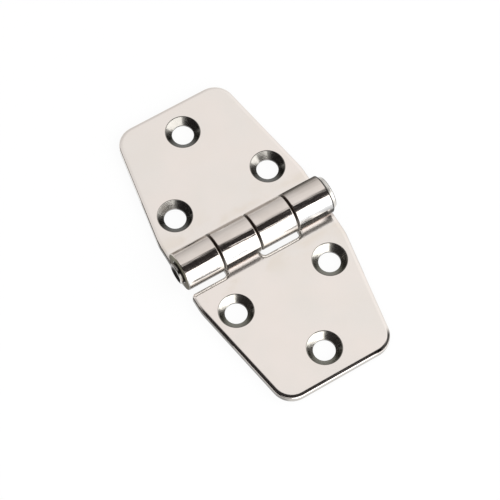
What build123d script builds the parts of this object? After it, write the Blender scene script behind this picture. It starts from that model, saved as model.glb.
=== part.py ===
from build123d import *
import math
import os

# Back flap hinge, open flat and lying on the back faces of its leaves.
# Frame: X along the pin, +Y towards the tip of the rear leaf, Z up from the back faces,
# origin below the middle of the pin.

# Driving dimensions, in millimetres and degrees
open_length = 76.4           # tip to tip with the leaves open flat
hinge_width = 38.0           # along the pin, and across each leaf at its root
sheet = 2.0                  # thickness of the leaf sheet
knuckle_count = 4            # taken by the two leaves in turn
knuckle_gap = 0.4            # between neighbouring knuckles
notch_clearance = 0.5        # from the barrel to the notch edge of the other leaf
notch_corner_radius = 1.1
seam_gap = 0.15              # from the end of the rolled sheet to the front face below it
roll_flat = 0.18             # how far the closing side of a roll is pressed flat
tip_width = 28.2             # across the tip, with the sides run on to sharp corners
tip_corner_radius = 5.0
taper_start = 9.5            # from the pin axis to where the sides begin to taper
side_bend_radius = 12.0      # where the straight root runs into the taper
front_ease_width = 0.75      # how far the dressed edge slopes in over the front face
front_ease_depth = 0.3       # how far it slopes down the cut edge
front_ease_blend = 1.0       # radius where that slope leaves the front face
front_ease_rounding = 0.4    # radius where it runs into the cut edge
back_rounding = 0.3          # edges of the back face and of the rolled knuckles
screw_hole_diameter = 5.1
countersink_diameter = 8.0
countersink_angle = 90.0
countersink_rounding = 0.2   # where the countersink breaks into the front face
root_hole_distance = 13.5    # from the pin axis to the pair of holes by the barrel
root_hole_spacing = 24.5     # between the holes of that pair
tip_hole_distance = 31.0     # from the pin axis to the single hole near the tip
pin_diameter = 5.0
pin_clearance = 0.1          # radial, between the pin and the rolled eyes
head_diameter = 7.8
head_thickness = 1.1
head_crown = 0.25            # how much of that thickness is the low dome of the head
head_rounding = 0.4
head_clearance = 0.1         # along the pin, between its head and the last knuckle
pin_end_proud = 0.85         # how far the plain end stands out of the first knuckle
pin_end_chamfer = 0.15
pin_end_dish_diameter = 4.0
pin_end_dish_depth = 0.7

# Sizes that follow from them
leaf_reach = open_length / 2
pin_radius = pin_diameter / 2
eye_radius = pin_radius + pin_clearance
barrel_radius = eye_radius + sheet
knuckle_pitch = (hinge_width + knuckle_gap) / knuckle_count
knuckle_width = knuckle_pitch - knuckle_gap
notch_depth = barrel_radius + notch_clearance


def knuckle_left(place):
    """X of a knuckle's left end, with places counted from the left end of the barrel."""
    return -hinge_width / 2 + place * knuckle_pitch


def leaf_plan(places):
    """Flat of a leaf from above, from below the pin to the tip, notched where it has no knuckle."""
    half = hinge_width / 2
    with BuildSketch() as plan:
        with BuildLine():
            Polyline(
                (-half, 0),
                (-half, taper_start),
                (-tip_width / 2, leaf_reach),
                (tip_width / 2, leaf_reach),
                (half, taper_start),
                (half, 0),
                close=True,
            )
        make_face()
        fillet(plan.vertices().group_by(Axis.Y)[-1], tip_corner_radius)
        fillet(plan.vertices().group_by(Axis.Y)[1], side_bend_radius)
        for place in set(range(knuckle_count)) - set(places):
            left = max(knuckle_left(place) - knuckle_gap, -half)
            right = min(knuckle_left(place + 1), half)
            with Locations((left, 0)):
                Rectangle(right - left, notch_depth, align=Align.MIN, mode=Mode.SUBTRACT)
        fillet(plan.vertices().group_by(Axis.Y)[1], notch_corner_radius)
    return plan.sketch


def off_root(edges):
    """Leaves out the edges where flat and roll join below the pin."""
    return [edge for edge in edges if round(edge.center().Y, 6) != 0]


def edges_at(solid, height):
    """Level edges of a flat at a height above its back, but for those at its root."""
    return off_root(edge for edge in solid.edges() if round(edge.center().Z - height, 6) == 0)


def make_flat(places):
    """Flat of a leaf, with the edges of its front face dressed and those of its back just broken."""
    flat = extrude(leaf_plan(places), sheet)
    front_face = flat.faces().sort_by(Axis.Z)[-1]
    flat = chamfer(edges_at(flat, sheet), front_ease_width, front_ease_depth, reference=front_face)
    flat = fillet(edges_at(flat, sheet - front_ease_depth), front_ease_rounding)
    flat = fillet(edges_at(flat, sheet), front_ease_blend)
    return fillet(edges_at(flat, 0), back_rounding)


def make_eye():
    """Rolled eye: the sheet leaves its flat below the pin, curls up, over and down, and is pressed shut."""
    roll_end = math.degrees(math.asin((barrel_radius - sheet - seam_gap) / barrel_radius))
    roll_sweep = 270 + roll_end
    with BuildSketch(Plane.YZ) as section:
        with BuildLine():
            outside = CenterArc((0, barrel_radius), barrel_radius, -90, -roll_sweep)
            inside = CenterArc((0, barrel_radius), eye_radius, -90, -roll_sweep)
            Line(outside @ 0, inside @ 0)
            Line(outside @ 1, inside @ 1)
        make_face()
    eye = extrude(section.sketch, knuckle_width)
    skins = eye.faces().filter_by(GeomType.CYLINDER)
    eye = fillet(off_root(edge for skin in skins for edge in skin.edges()), back_rounding)
    press = Pos(0, barrel_radius - roll_flat, 0) * Box(
        knuckle_width, sheet, 2 * barrel_radius, align=Align.MIN
    )
    return eye - press


def screw_holes():
    """Countersunk holes: a pair by the barrel and one near the tip, sunk from the front face."""
    hole = CounterSinkHole(
        screw_hole_diameter / 2,
        countersink_diameter / 2,
        depth=sheet,
        counter_sink_angle=countersink_angle,
    )
    places = Locations(
        (-root_hole_spacing / 2, root_hole_distance, sheet),
        (root_hole_spacing / 2, root_hole_distance, sheet),
        (0, tip_hole_distance, sheet),
    )
    return [place * hole for place in places]


def make_leaf(places):
    """A leaf that reaches along +Y, with rolled knuckles at the given places."""
    eye = make_eye()
    leaf = make_flat(places) + [Pos(knuckle_left(place), 0, 0) * eye for place in places]
    leaf -= screw_holes()
    front_face = leaf.faces().filter_by(Axis.Z).sort_by(Axis.Z)[-1]
    return fillet([wire.edge() for wire in front_face.inner_wires()], countersink_rounding)


def make_pin():
    """Pin with a low domed head past the last knuckle and a dished end past the first."""
    end = -hinge_width / 2 - pin_end_proud
    head = hinge_width / 2 + head_clearance
    head_side = head + head_thickness - head_crown
    with BuildSketch(Plane.XZ) as profile:
        with BuildLine():
            dish = TangentArc(
                (end + pin_end_dish_depth, 0),
                (end, pin_end_dish_diameter / 2),
                tangent=(0, 1),
            )
            crown = TangentArc(
                (head + head_thickness, 0),
                (head_side, head_diameter / 2),
                tangent=(0, 1),
            )
            Polyline(
                dish @ 1,
                (end, pin_radius - pin_end_chamfer),
                (end + pin_end_chamfer, pin_radius),
                (head, pin_radius),
                (head, head_diameter / 2),
                crown @ 1,
            )
            Line(dish @ 0, crown @ 0)
        make_face()
        head_rim = profile.vertices().group_by(Axis.Y)[-1].sort_by(Axis.X)[-1]
        fillet(head_rim, head_rounding)
    return Pos(0, 0, barrel_radius) * revolve(profile.sketch, Axis.X)


rear_places = range(0, knuckle_count, 2)
front_places = range(1, knuckle_count, 2)
front_places_turned = [knuckle_count - 1 - place for place in front_places]

nodes = {
    "rear_leaf": make_leaf(rear_places),
    "front_leaf": Rot(0, 0, 180) * make_leaf(front_places_turned),
    "hinge_pin": make_pin(),
}

os.makedirs("parts", exist_ok=True)
for name, node in nodes.items():
    node.label = name
    export_step(node, f"parts/{name}.step")
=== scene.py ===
import math

import bpy
from mathutils import Matrix, Vector

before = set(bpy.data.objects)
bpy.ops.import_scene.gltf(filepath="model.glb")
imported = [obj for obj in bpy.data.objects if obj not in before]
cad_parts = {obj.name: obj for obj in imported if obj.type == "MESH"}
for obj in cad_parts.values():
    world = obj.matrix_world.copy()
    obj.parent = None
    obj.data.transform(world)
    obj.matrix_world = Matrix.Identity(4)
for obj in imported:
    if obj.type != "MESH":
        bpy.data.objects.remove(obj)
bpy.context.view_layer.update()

# Camera, as the photograph was taken: angles in degrees, lengths in metres
photo_pixels = 500
camera_azimuth = -32.898
camera_elevation = 65.86
camera_roll = 2.035
camera_distance = 0.484808
focal_pixels = 2141.0
origin_pixel = (251.484, 240.537)   # where the frame's origin shows in the photograph
sensor_width = 36.0                 # millimetres

# Studio round the hinge: angles in degrees, lengths in metres, brightness against a white sky
sky_levels = (0.55, 0.955)          # at the horizon and overhead
side_light = 0.3                    # added towards the right
side_light_reach = 0.9
floor_level = -0.0002
floor_size = 4
floor_paint = (0.92, 0.92, 0.92)
floor_glow = 0.92
card_paint = (0.022, 0.020, 0.020)
overhead_centre = (-0.2275, -0.104, 0.6)
overhead_turn = 21.2
overhead_width = 1.10
overhead_depth = 0.63
side_card_centre = (-0.55, -0.175, 0.225)
side_card_width = 1.55
side_card_height = 0.45
softbox_azimuth = 26
softbox_elevation = 21
softbox_distance = 0.7
softbox_width = 1.5
softbox_height = 0.757
softbox_radiance = 2.0

# Places on the hinge that the finish follows, in metres
root_hole = (0.01225, 0.0135, 0)
tip_hole = (0, 0.031, 0)
countersink_radius = 0.00405
sheet = 0.002
pin_height = 0.0046
knuckle_pitch = 0.0096              # from one gap between knuckles to the next
barrel_half = 0.019
pin_dish_radius = 0.002
head_radius = 0.0039

# Short ways over which one finish passes into the next, in metres
gap_sides = (0.00026, 0.00046)      # from the middle of a gap
knuckle_edge = (0.0005, 0.00055)    # from the middle of a gap
last_edge = (0.0185, 0.0187)        # along the barrel
rear_bend = (0.0085, 0.0105)        # from the barrel's axis along the rear leaf
front_corner_x = (0.008, 0.010)
front_corner_y = (-0.0337, -0.0357)
head_rim_start = (0.0197, 0.0199)   # along the pin
pin_tip_start = (-0.0195, -0.0193)  # along the pin
pin_ridge = (-0.0005, 0.0005)       # across the pin

# Steel colours
buffed_colour = (0.850, 0.778, 0.730)
buffed_tint = (0.818, 0.765, 0.720)
wall_colour = (0.540, 0.515, 0.480)
front_side_shade_colour = (0.190, 0.180, 0.165)
rear_side_highlight_colour = (0.900, 0.890, 0.870)
root_side_shade_colour = (0.060, 0.056, 0.052)
edge_shade_colour = (0.060, 0.056, 0.052)
end_shade_colour = (0.140, 0.124, 0.092)
end_high_shade_colour = (0.210, 0.200, 0.140)
barrel_colour = (0.748, 0.682, 0.634)
barrel_tint = (0.690, 0.622, 0.572)
far_side_shade_colour = (0.300, 0.268, 0.236)
near_highlight_colour = (0.790, 0.790, 0.790)
knuckle_edge_shade_colour = (0.200, 0.182, 0.165)
sunk_colour = (0.600, 0.575, 0.530)
sunk_tint = (0.420, 0.400, 0.355)
near_wall_shade_colour = (0.130, 0.126, 0.100)
rear_sunk_shade_colour = (0.340, 0.325, 0.300)
rear_near_wall_shade_colour = (0.036, 0.035, 0.027)
sink_rim_shade_colour = (0.120, 0.110, 0.098)
gap_dark_colour = (0.130, 0.085, 0.060)
gap_low_colour = (0.520, 0.495, 0.460)
painted_shade_colour = (0.250, 0.235, 0.215)
low_end_shade_colour = (0.050, 0.048, 0.044)
far_edge_shade_colour = (0.100, 0.086, 0.072)
root_colour = (0.790, 0.715, 0.640)
seam_shade_colour = (0.600, 0.545, 0.515)
notch_highlight_colour = (0.980, 0.960, 0.930)
head_colour = (0.800, 0.775, 0.740)
head_tint = (0.640, 0.615, 0.580)
head_rim_shade_colour = (0.080, 0.076, 0.070)
pin_shade_colour = (0.050, 0.046, 0.042)
pin_dish_shade_colour = (0.045, 0.042, 0.038)
pin_rim_highlight_colour = (0.860, 0.840, 0.800)
pin_back_rim_shade_colour = (0.220, 0.205, 0.190)
pin_edge_colour = (0.260, 0.245, 0.225)

# Roughness of the steel, a pair where it varies
buffed_rough = (0.07, 0.13)
turned_rough = (0.14, 0.24)
strip_rough = 0.17
wall_rough = 0.2
under_rough = 0.24
root_rough = 0.28
low_end_rough = 0.5
end_rough = 0.6
far_edge_rough = 0.7
gap_rough = (0.6, 0.85)             # high up and low down in a gap
pin_rough = (0.14, 0.26)
head_rough = (0.38, 0.8)            # on the face and on the rim
pin_tip_rough = 0.9

# Patterns in the steel: patches per metre and levels of detail
cloud_pattern = (90.0, 4.0)
blot_pattern = (130.0, 3.0)
wave_pattern = (160.0, 1.0)
ring_pattern = (9000.0, 3.0)
grain_pattern = (4000.0, 4.0)
pin_cloud_pattern = (350.0, 4.0)
pin_ring_pattern = (7000.0, 3.0)
blot_stretch = (1.0, 1.6, 1.0)
hair_stretch = (900.0, 5000.0, 5000.0)
hair_pattern = (1.0, 3.0)           # of the stretched place
streak_stretch = (110.0, 2800.0, 2800.0)
streak_pattern = (1.0, 2.0)         # of the stretched place
pattern_span = (0.3, 0.7)           # values of a pattern from its dark to its light patches

# Depths of relief, in metres
wave_depth = 0.00002
hair_depth = 0.0000004
streak_depth = 0.00004
ring_depth = 0.000008
grain_depth = 0.000015
pin_ring_depth = 0.000006
pin_cloud_depth = 0.00001

scene = bpy.context.scene
scene.view_settings.view_transform = "Standard"


def toward(azimuth, elevation, distance):
    """Place at that distance: azimuth 0 is at -Y and 90 at +X, elevation above the floor."""
    a, e = math.radians(azimuth), math.radians(elevation)
    return Vector((
        math.sin(a) * math.cos(e) * distance,
        -math.cos(a) * math.cos(e) * distance,
        math.sin(e) * distance,
    ))


def camera_axes():
    """Right, up and backward directions of the camera."""
    azimuth = math.radians(camera_azimuth)
    roll = math.radians(camera_roll)
    back = toward(camera_azimuth, camera_elevation, 1)
    right = Vector((math.cos(azimuth), math.sin(azimuth), 0))
    up = back.cross(right)
    return (
        right * math.cos(roll) + up * math.sin(roll),
        up * math.cos(roll) - right * math.sin(roll),
        back,
    )


def add_camera():
    """Looks at the hinge from the photograph's angle."""
    right, up, back = camera_axes()
    data = bpy.data.cameras.new("camera")
    data.sensor_width = sensor_width
    data.lens = focal_pixels / photo_pixels * sensor_width
    data.clip_start = 0.01
    data.clip_end = 10
    middle = (photo_pixels - 1) / 2
    data.shift_x = (middle - origin_pixel[0]) / photo_pixels
    data.shift_y = (origin_pixel[1] - middle) / photo_pixels
    camera = bpy.data.objects.new("camera", data)
    camera.matrix_world = Matrix.Translation(back * camera_distance) @ Matrix((
        (right.x, up.x, back.x, 0),
        (right.y, up.y, back.y, 0),
        (right.z, up.z, back.z, 0),
        (0, 0, 0, 1),
    ))
    scene.collection.objects.link(camera)
    scene.camera = camera


class Nodes:
    """Short names for the shader nodes of one material or world."""

    def __init__(self, tree):
        self.tree = tree

    def add(self, kind, **settings):
        node = self.tree.nodes.new(kind)
        for key, value in settings.items():
            setattr(node, key, value)
        return node

    def put(self, value, socket):
        """Links another node's output to a socket, or sets the socket to a plain value."""
        if isinstance(value, bpy.types.NodeSocket):
            self.tree.links.new(value, socket)
        else:
            socket.default_value = value

    def math(self, operation, a, b=0.0):
        node = self.add("ShaderNodeMath", operation=operation)
        self.put(a, node.inputs[0])
        self.put(b, node.inputs[1])
        return node.outputs[0]

    def product(self, mask, *others):
        """Where all of several masks hold."""
        for other in others:
            mask = self.math("MULTIPLY", mask, other)
        return mask

    def either(self, a, b):
        """Where one of two masks holds."""
        return self.math("MAXIMUM", a, b)

    def ramp(self, value, start, end, low=0.0, high=1.0, course="SMOOTHSTEP"):
        """Goes from low at the start to high at the end."""
        node = self.add("ShaderNodeMapRange", interpolation_type=course)
        for socket, item in zip(node.inputs, (value, start, end, low, high)):
            self.put(item, socket)
        return node.outputs[0]

    def fall(self, value, start, end):
        """Goes from one at the start to nothing at the end."""
        return self.ramp(value, start, end, 1.0, 0.0)

    def mix(self, factor, a, b):
        """Colour that goes from a to b as the factor goes from nothing to one."""
        node = self.add("ShaderNodeMix", data_type="RGBA")
        self.put(factor, node.inputs[0])
        self.put(a if isinstance(a, bpy.types.NodeSocket) else (*a, 1), node.inputs[6])
        self.put(b if isinstance(b, bpy.types.NodeSocket) else (*b, 1), node.inputs[7])
        return node.outputs[2]

    def split(self, vector):
        node = self.add("ShaderNodeSeparateXYZ")
        self.put(vector, node.inputs[0])
        return node.outputs

    def combine(self, x, y, z):
        node = self.add("ShaderNodeCombineXYZ")
        for value, socket in zip((x, y, z), node.inputs):
            self.put(value, socket)
        return node.outputs[0]

    def stretch(self, vector, scale):
        node = self.add("ShaderNodeMapping")
        self.put(vector, node.inputs["Vector"])
        node.inputs["Scale"].default_value = scale
        return node.outputs[0]

    def distance(self, vector, point):
        node = self.add("ShaderNodeVectorMath", operation="DISTANCE")
        self.put(vector, node.inputs[0])
        node.inputs[1].default_value = point
        return node.outputs["Value"]

    def noise(self, place, scale, detail):
        """Pattern of patches in space."""
        node = self.add("ShaderNodeTexNoise")
        return self.tune_noise(node, "Vector", place, scale, detail)

    def noise_along(self, length, scale, detail):
        """Pattern of bands along one length."""
        node = self.add("ShaderNodeTexNoise", noise_dimensions="1D")
        return self.tune_noise(node, "W", length, scale, detail)

    def tune_noise(self, node, socket, place, scale, detail):
        self.put(place, node.inputs[socket])
        node.inputs["Scale"].default_value = scale
        node.inputs["Detail"].default_value = detail
        return node.outputs[0]

    def bump(self, height, depth, normal=None):
        """Relief of the given depth in metres, on top of the relief before it."""
        node = self.add("ShaderNodeBump")
        node.inputs["Distance"].default_value = depth
        self.put(height, node.inputs["Height"])
        if normal:
            self.put(normal, node.inputs["Normal"])
        return node.outputs[0]


def set_world():
    """White studio light from all round, falling off towards the horizon."""
    world = bpy.data.worlds.new("studio")
    world.use_nodes = True
    nodes = Nodes(world.node_tree)
    background = world.node_tree.nodes["Background"]
    direction = nodes.split(nodes.add("ShaderNodeTexCoord").outputs["Generated"])
    sky = nodes.ramp(direction[2], 0.0, 1.0, *sky_levels, course="LINEAR")
    side = nodes.ramp(direction[0], 0.0, side_light_reach, 0.0, side_light)
    nodes.put(nodes.math("ADD", sky, side), background.inputs["Strength"])
    background.inputs["Color"].default_value = (1, 1, 1, 1)
    scene.world = world


def new_material(name):
    """Material with its main shader and node helper."""
    material = bpy.data.materials.new(name)
    material.use_nodes = True
    return material, material.node_tree.nodes["Principled BSDF"], Nodes(material.node_tree)


def plain_material(name, colour):
    """Matt surface of the studio."""
    material, shader, nodes = new_material(name)
    shader.inputs["Base Color"].default_value = (*colour, 1)
    shader.inputs["Roughness"].default_value = 1
    shader.inputs["Specular IOR Level"].default_value = 0
    return material, shader, nodes


def blend_shaders(material, nodes, share, first, second):
    """Shows the second shader in place of the first by a share."""
    blend = nodes.add("ShaderNodeMixShader")
    nodes.put(share, blend.inputs[0])
    nodes.put(first.outputs[0], blend.inputs[1])
    nodes.put(second.outputs[0], blend.inputs[2])
    nodes.put(blend.outputs[0], material.node_tree.nodes["Material Output"].inputs["Surface"])


def floor_material():
    """Pale floor that shows near white and keeps a soft shadow."""
    material, shader, nodes = plain_material("floor_paint", floor_paint)
    path = nodes.add("ShaderNodeLightPath").outputs
    seen = nodes.math("ADD", path["Is Camera Ray"], path["Is Glossy Ray"])
    seen = nodes.math("ADD", seen, path["Is Transmission Ray"])
    share = nodes.ramp(seen, 0.0, 1.0, 0.0, floor_glow)
    blend_shaders(material, nodes, share, shader, nodes.add("ShaderNodeEmission"))
    return material


def card_material(half_depth):
    """Black card that thins out towards its far edge."""
    material, shader, nodes = plain_material("card_black", card_paint)
    depth = nodes.split(nodes.add("ShaderNodeTexCoord").outputs["Object"])[1]
    share = nodes.ramp(depth, 0.6 * half_depth, half_depth)
    blend_shaders(material, nodes, share, shader, nodes.add("ShaderNodeBsdfTransparent"))
    return material


def add_panel(name, centre, facing, turn, width, height, material):
    """Flat studio panel that faces a direction, turned about it by an angle in degrees."""
    mesh = bpy.data.meshes.new(name)
    w, h = width / 2, height / 2
    mesh.from_pydata([(-w, -h, 0), (w, -h, 0), (w, h, 0), (-w, h, 0)], [], [(0, 1, 2, 3)])
    mesh.materials.append(material)
    panel = bpy.data.objects.new(name, mesh)
    aim = Vector(facing).to_track_quat("Z", "Y").to_matrix().to_4x4()
    panel.matrix_world = Matrix.Translation(centre) @ aim @ Matrix.Rotation(math.radians(turn), 4, "Z")
    scene.collection.objects.link(panel)
    return panel


def add_card(name, centre, facing, turn, width, height, material):
    """Dark card that shows only in reflections."""
    card = add_panel(name, centre, facing, turn, width, height, material)
    card.visible_camera = False
    card.visible_diffuse = False
    card.visible_shadow = False


def add_softbox(name, centre, width, height, radiance):
    """Area lamp aimed at the hinge, with the given brightness on its face."""
    data = bpy.data.lights.new(name, "AREA")
    data.shape = "RECTANGLE"
    data.size = width
    data.size_y = height
    data.energy = radiance * math.pi * width * height
    lamp = bpy.data.objects.new(name, data)
    lamp.matrix_world = Matrix.Translation(centre) @ centre.to_track_quat("Z", "Y").to_matrix().to_4x4()
    scene.collection.objects.link(lamp)


class Steel(Nodes):
    """Metal whose finish is laid on in coats, each where its mask holds."""

    def __init__(self, name):
        self.material, self.shader, nodes = new_material(name)
        super().__init__(nodes.tree)
        self.shader.inputs["Metallic"].default_value = 1
        coords = self.add("ShaderNodeTexCoord").outputs
        self.place = coords["Object"]
        self.x, self.y, self.z = self.split(self.place)
        self.across, self.along, self.up = self.split(coords["Normal"])
        self.colour = None
        self.roughness = None
        self.relief = None

    def coat(self, mask, colour):
        """Lays a colour over the coats before it."""
        self.colour = self.mix(mask, self.colour, colour)

    def dull(self, mask, least):
        """Makes the skin at least that rough."""
        self.roughness = self.math("MAXIMUM", self.roughness, self.product(mask, least))

    def emboss(self, height, depth):
        """Adds a relief to those before it."""
        self.relief = self.bump(height, depth, self.relief)

    def finished(self):
        """Material with all its coats."""
        self.put(self.colour, self.shader.inputs["Base Color"])
        self.put(self.roughness, self.shader.inputs["Roughness"])
        self.put(self.relief, self.shader.inputs["Normal"])
        return self.material


class LeafSteel(Steel):
    """Buffed stainless sheet with rough cut walls, knuckle ends and turned countersinks, and painted shade
    and highlights on the barrel, roots, countersinks, ends and walls.
    """

    def __init__(self):
        super().__init__("leaf_steel")
        self.nx = self.math("ABSOLUTE", self.across)
        self.nz = self.math("ABSOLUTE", self.up)
        self.from_middle = self.math("ABSOLUTE", self.x)
        self.from_pin = self.math("ABSOLUTE", self.y)
        self.from_gap = self.math("PINGPONG", self.from_middle, knuckle_pitch / 2)
        self.by_gaps = self.math("LESS_THAN", self.from_middle, 0.8 * barrel_half)
        self.on_rear = self.math("GREATER_THAN", self.y, 0.0)
        self.on_flat = self.fall(self.z, sheet, 1.05 * sheet)
        self.on_barrel = self.ramp(self.z, 1.15 * sheet, 1.3 * sheet)
        self.blots = self.noise(self.stretch(self.place, blot_stretch), *blot_pattern)

    def finish_sheet(self):
        """Buffed skin with faint clouds, waves and hairlines."""
        clouds = self.noise(self.place, *cloud_pattern)
        self.colour = self.mix(self.ramp(clouds, *pattern_span), buffed_colour, buffed_tint)
        self.roughness = self.ramp(clouds, *pattern_span, *buffed_rough)
        self.emboss(self.noise(self.place, *wave_pattern), wave_depth)
        self.emboss(self.noise(self.stretch(self.place, hair_stretch), *hair_pattern), hair_depth)

    def finish_barrel(self):
        """Drawn skin of the knuckles, with painted shade on the far and low sides, on the far edge of the
        last knuckle and at the low right end, and a painted highlight on the near side.
        """
        self.coat(self.on_barrel, self.mix(self.ramp(self.blots, 0.35, 0.65), barrel_colour, barrel_tint))
        # painted shade: darker colour on the knuckles' far side
        far_side = self.ramp(self.along, 0.45, 0.75, 0.0, 0.65)
        self.coat(self.product(self.on_barrel, far_side), far_side_shade_colour)

        # painted highlight: paler, neutral colour on the near and low sides of the knuckles
        near_side = self.either(
            self.fall(self.z, 1.5 * sheet, 2.1 * sheet),
            self.fall(self.along, -0.8, -0.55),
        )
        strip = self.product(self.on_barrel, near_side)
        self.coat(strip, near_highlight_colour)
        self.dull(strip, strip_rough)

        # painted shade: darker lower half of the knuckles
        under = self.product(
            self.ramp(self.z, pin_height, 1.6 * pin_height, 0.95, 0.0),
            self.ramp(self.z, 1.2 * sheet, 1.9 * sheet),
        )
        self.coat(under, painted_shade_colour)
        self.dull(under, under_rough)

        # painted shade: near black on the low front of the barrel's right end
        low_end = self.product(
            self.fall(self.z, pin_height, 1.3 * pin_height),
            self.ramp(self.x, 0.82 * barrel_half, 0.95 * barrel_half),
            self.math("LESS_THAN", self.y, 0.0),
            self.on_barrel,
        )
        self.coat(low_end, low_end_shade_colour)
        self.dull(low_end, low_end_rough)

        # painted shade: dark edge on the far side of the last knuckle
        far_edge = self.product(
            self.on_barrel,
            self.ramp(self.along, 0.4, 0.85),
            self.math("GREATER_THAN", self.x, knuckle_pitch),
        )
        self.coat(far_edge, far_edge_shade_colour)
        self.dull(far_edge, far_edge_rough)

        # painted shade: dark line at the barrel's right end, against the head
        self.coat(self.product(self.on_barrel, self.ramp(self.x, *last_edge)), edge_shade_colour)
        streaks = self.noise(self.stretch(self.place, streak_stretch), *streak_pattern)
        self.emboss(self.product(self.on_barrel, streaks), streak_depth)

    def finish_roots(self):
        """Flat beside the barrel: satin and a little stained, with painted shade along the seam, a painted
        highlight on the notch walls and painted dark lines at the notch edges.
        """
        root = self.product(self.fall(self.from_pin, pin_height, 1.6 * pin_height), self.on_flat)
        self.dull(root, root_rough)
        stain = self.product(
            self.ramp(self.from_pin, pin_height, 2.8 * pin_height, 1.0, 0.1),
            self.ramp(self.blots, 0.42, 0.62),
            self.ramp(self.from_pin, 1.25 * pin_height, 1.6 * pin_height),
            self.on_flat,
        )
        self.coat(stain, root_colour)
        # painted shade: darker band on the flat along the foot of the barrel
        seam_shade = self.product(self.fall(self.from_pin, pin_height, 1.1 * pin_height), self.on_flat)
        self.coat(seam_shade, seam_shade_colour)

        in_notch = self.product(
            self.math("LESS_THAN", self.from_pin, 1.4 * pin_height),
            self.math("LESS_THAN", self.from_middle, 0.95 * barrel_half),
            self.on_flat,
        )
        # painted highlight: near white on the walls of the notches
        notch_highlight = self.product(
            self.fall(self.nz, 0.94, 0.985),
            self.ramp(self.z, 0.8 * sheet, 0.86 * sheet),
            in_notch,
        )
        self.coat(notch_highlight, notch_highlight_colour)
        # painted shade: dark lines along the roundings at the notch edges
        shoulders = self.either(
            self.product(self.ramp(self.nz, 0.970, 0.985), self.fall(self.nz, 0.9930, 0.9985)),
            self.product(self.ramp(self.nz, 0.3, 0.5), self.fall(self.nz, 0.75, 0.9)),
        )
        lip = self.product(shoulders, self.ramp(self.z, 0.7 * sheet, 0.75 * sheet), in_notch)
        self.coat(self.product(lip, 0.8), painted_shade_colour)

    def finish_countersinks(self):
        """Turned rings, painted shade on the near side and a painted dark line at the rim, darker all over
        on the rear leaf.
        """
        folded = self.combine(self.from_middle, self.from_pin, 0.0)
        from_hole = self.math(
            "MINIMUM",
            self.distance(folded, root_hole),
            self.distance(folded, tip_hole),
        )
        above_back = self.ramp(self.z, 0.1 * sheet, 0.2 * sheet)
        sunk = self.product(
            self.fall(from_hole, countersink_radius, 1.02 * countersink_radius),
            above_back,
        )
        rings = self.noise_along(from_hole, *ring_pattern)
        turned = self.mix(self.ramp(rings, *pattern_span), sunk_colour, sunk_tint)
        # painted shade: the rear leaf's countersinks darker than the front's
        self.coat(sunk, self.mix(self.on_rear, turned, rear_sunk_shade_colour))
        self.dull(sunk, self.ramp(rings, *pattern_span, *turned_rough))
        self.emboss(self.product(sunk, rings), ring_depth)

        # painted shade: dark olive on the near side of each countersink
        slant = self.math("ADD", self.product(self.across, 0.75), self.product(self.along, 0.6))
        near_side = self.either(self.ramp(self.along, 0.1, 0.6), self.ramp(slant, 0.2, 0.5))
        near_wall_shade = self.mix(self.on_rear, near_wall_shade_colour, rear_near_wall_shade_colour)
        self.coat(self.product(sunk, near_side), near_wall_shade)
        # painted shade: dark line round the rim of each countersink
        rim = self.product(
            self.ramp(from_hole, 0.97 * countersink_radius, countersink_radius),
            self.fall(from_hole, countersink_radius, 1.03 * countersink_radius),
            above_back,
        )
        self.coat(rim, sink_rim_shade_colour)

    def finish_ends(self):
        """Rough end faces of the first and the last knuckle, darkened as painted shade and paler olive high
        up; their mask is handed back.
        """
        end = self.product(
            self.ramp(self.nx, 0.7, 0.95),
            self.math("GREATER_THAN", self.from_middle, 0.9 * barrel_half),
            self.ramp(self.z, 0.6 * sheet, 0.8 * sheet),
        )
        high = self.ramp(self.z, 1.1 * pin_height, 1.6 * pin_height)
        self.coat(end, self.mix(high, end_shade_colour, end_high_shade_colour))
        self.dull(end, end_rough)
        return end

    def finish_front_corner(self):
        """Painted shade on the shoulder round the right corner of the front leaf's tip."""
        corner = self.product(
            self.ramp(self.nz, 0.65, 0.75),
            self.fall(self.nz, 0.95, 0.98),
            self.ramp(self.x, *front_corner_x),
            self.ramp(self.y, *front_corner_y),
            self.ramp(self.z, 0.7 * sheet, 0.8 * sheet),
        )
        self.coat(corner, edge_shade_colour)

    def finish_gaps(self):
        """Painted shade on the knuckles' right-facing edges beside the gaps, and dark brown in the gaps,
        olive-grey lower down.
        """
        # painted shade: darker right-facing edges of the knuckles beside the gaps
        edge = self.product(
            self.ramp(self.across, 0.2, 0.5, 0.0, 0.8),
            self.fall(self.from_gap, *knuckle_edge),
            self.on_barrel,
            self.by_gaps,
        )
        self.coat(edge, knuckle_edge_shade_colour)
        # dark brown in the gaps, paler olive-grey lower down
        gap_dark = self.product(
            self.fall(self.from_gap, *gap_sides),
            self.ramp(self.z, sheet, 1.1 * sheet),
            self.by_gaps,
        )
        lower = self.fall(self.z, 1.4 * pin_height, 1.8 * pin_height)
        self.coat(self.product(gap_dark, 0.92), self.mix(lower, gap_dark_colour, gap_low_colour))
        self.dull(gap_dark, self.ramp(lower, 0.0, 1.0, *gap_rough))

    def finish_walls(self):
        """Cut walls of the sheet: painted shade on the front leaf's side walls and on the rear leaf's near
        the barrel and at their foot, a painted highlight on the rest of the rear leaf's side walls, and a
        painted dark line along the bottom edge, whose mask is handed back.
        """
        wall = self.product(
            self.fall(self.nz, 0.3, 0.62),
            self.fall(self.z, 0.7 * sheet, 0.9 * sheet),
        )
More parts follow.
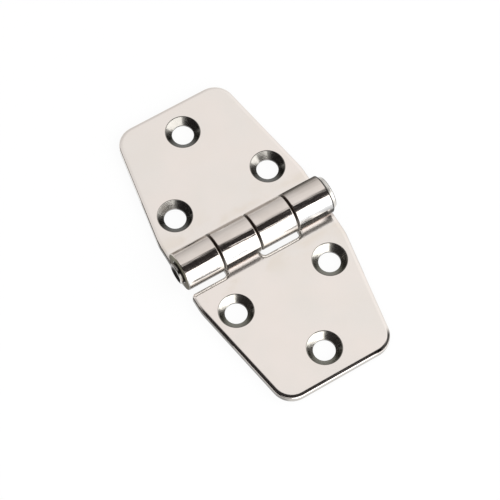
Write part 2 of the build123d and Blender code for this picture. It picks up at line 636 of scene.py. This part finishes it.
        # rear side walls: painted shade near the barrel, painted highlight further out, painted shade at
        # the foot
        rear_side = self.mix(self.ramp(self.y, *rear_bend), root_side_shade_colour, rear_side_highlight_colour)
        foot = self.fall(self.z, 0.30 * sheet, 0.40 * sheet)
        rear_side = self.mix(foot, rear_side, edge_shade_colour)
        side = self.mix(self.on_rear, front_side_shade_colour, rear_side)
        self.coat(wall, self.mix(self.ramp(self.nx, 0.5, 0.8), wall_colour, side))
        self.dull(wall, wall_rough)
        # painted shade: dark line along the bottom edge of the sheet
        bottom_shade = self.product(
            self.fall(self.nz, 0.8, 0.95),
            self.fall(self.z, 0.1 * sheet, 0.2 * sheet),
        )
        self.coat(bottom_shade, edge_shade_colour)
        return bottom_shade


def leaf_steel():
    """Finish of both leaves, from the whole sheet to its edges."""
    steel = LeafSteel()
    steel.finish_sheet()
    steel.finish_barrel()
    steel.finish_roots()
    steel.finish_countersinks()
    end = steel.finish_ends()
    steel.finish_front_corner()
    steel.finish_gaps()
    bottom_shade = steel.finish_walls()
    grain = steel.noise(steel.place, *grain_pattern)
    steel.emboss(steel.product(steel.either(bottom_shade, end), grain), grain_depth)
    return steel.finished()


def pin_steel():
    """Steel pin: polished head with faint turned rings and a dark rim of painted shade; painted shade on
    the shank, the low side of the end and its dish, and a painted highlight on the front of the end's rim,
    grey at the back.
    """
    steel = Steel("pin_steel")
    off_axis = steel.distance(steel.combine(0.0, steel.y, steel.z), (0, 0, pin_height))
    rings = steel.noise_along(off_axis, *pin_ring_pattern)
    clouds = steel.noise(steel.place, *pin_cloud_pattern)
    head = steel.math("GREATER_THAN", steel.x, barrel_half)
    # painted shade: dark rim round the head's face
    head_rim = steel.product(
        steel.ramp(steel.x, *head_rim_start),
        steel.ramp(off_axis, 0.88 * head_radius, 0.93 * head_radius),
    )
    head_skin = steel.mix(steel.ramp(clouds, *pattern_span), head_colour, head_tint)
    head_skin = steel.mix(head_rim, head_skin, head_rim_shade_colour)

    # painted light and shade on the pin's end: dark low side, shank and dish, a painted highlight on the
    # front of the rim, grey at the back
    low = steel.fall(steel.z, 0.75 * pin_height, 0.95 * pin_height)
    tip = steel.fall(steel.x, *pin_tip_start)
    face = steel.ramp(steel.math("ABSOLUTE", steel.across), 0.5, 0.85)
    dished = steel.fall(off_axis, 0.93 * pin_dish_radius, pin_dish_radius)
    rim = steel.mix(steel.ramp(steel.y, *pin_ridge), pin_rim_highlight_colour, pin_back_rim_shade_colour)
    rim = steel.mix(low, rim, pin_shade_colour)
    shank = steel.mix(tip, pin_shade_colour, steel.mix(low, pin_edge_colour, pin_shade_colour))
    painted_end = steel.mix(face, shank, steel.mix(dished, rim, pin_dish_shade_colour))

    steel.colour = steel.mix(head, painted_end, head_skin)
    steel.roughness = steel.ramp(rings, *pattern_span, *pin_rough)
    steel.dull(head, steel.ramp(head_rim, 0.0, 1.0, *head_rough))
    steel.dull(steel.product(tip, low), pin_tip_rough)
    steel.emboss(rings, pin_ring_depth)
    steel.emboss(clouds, pin_cloud_depth)
    return steel.finished()


add_camera()
set_world()
card_black = card_material(overhead_depth / 2)
add_panel("floor", (0, 0, floor_level), (0, 0, 1), 0, floor_size, floor_size, floor_material())
add_card(
    "overhead_card", overhead_centre, (0, 0, -1), overhead_turn, overhead_width, overhead_depth, card_black,
)
add_card("side_card", side_card_centre, (1, 0, 0), 0, side_card_width, side_card_height, card_black)
add_softbox(
    "front_softbox",
    toward(softbox_azimuth, softbox_elevation, softbox_distance),
    softbox_width,
    softbox_height,
    softbox_radiance,
)

leaf_finish = leaf_steel()
pin_finish = pin_steel()
for name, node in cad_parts.items():
    node.data.materials.clear()
    node.data.materials.append(pin_finish if name == "hinge_pin" else leaf_finish)
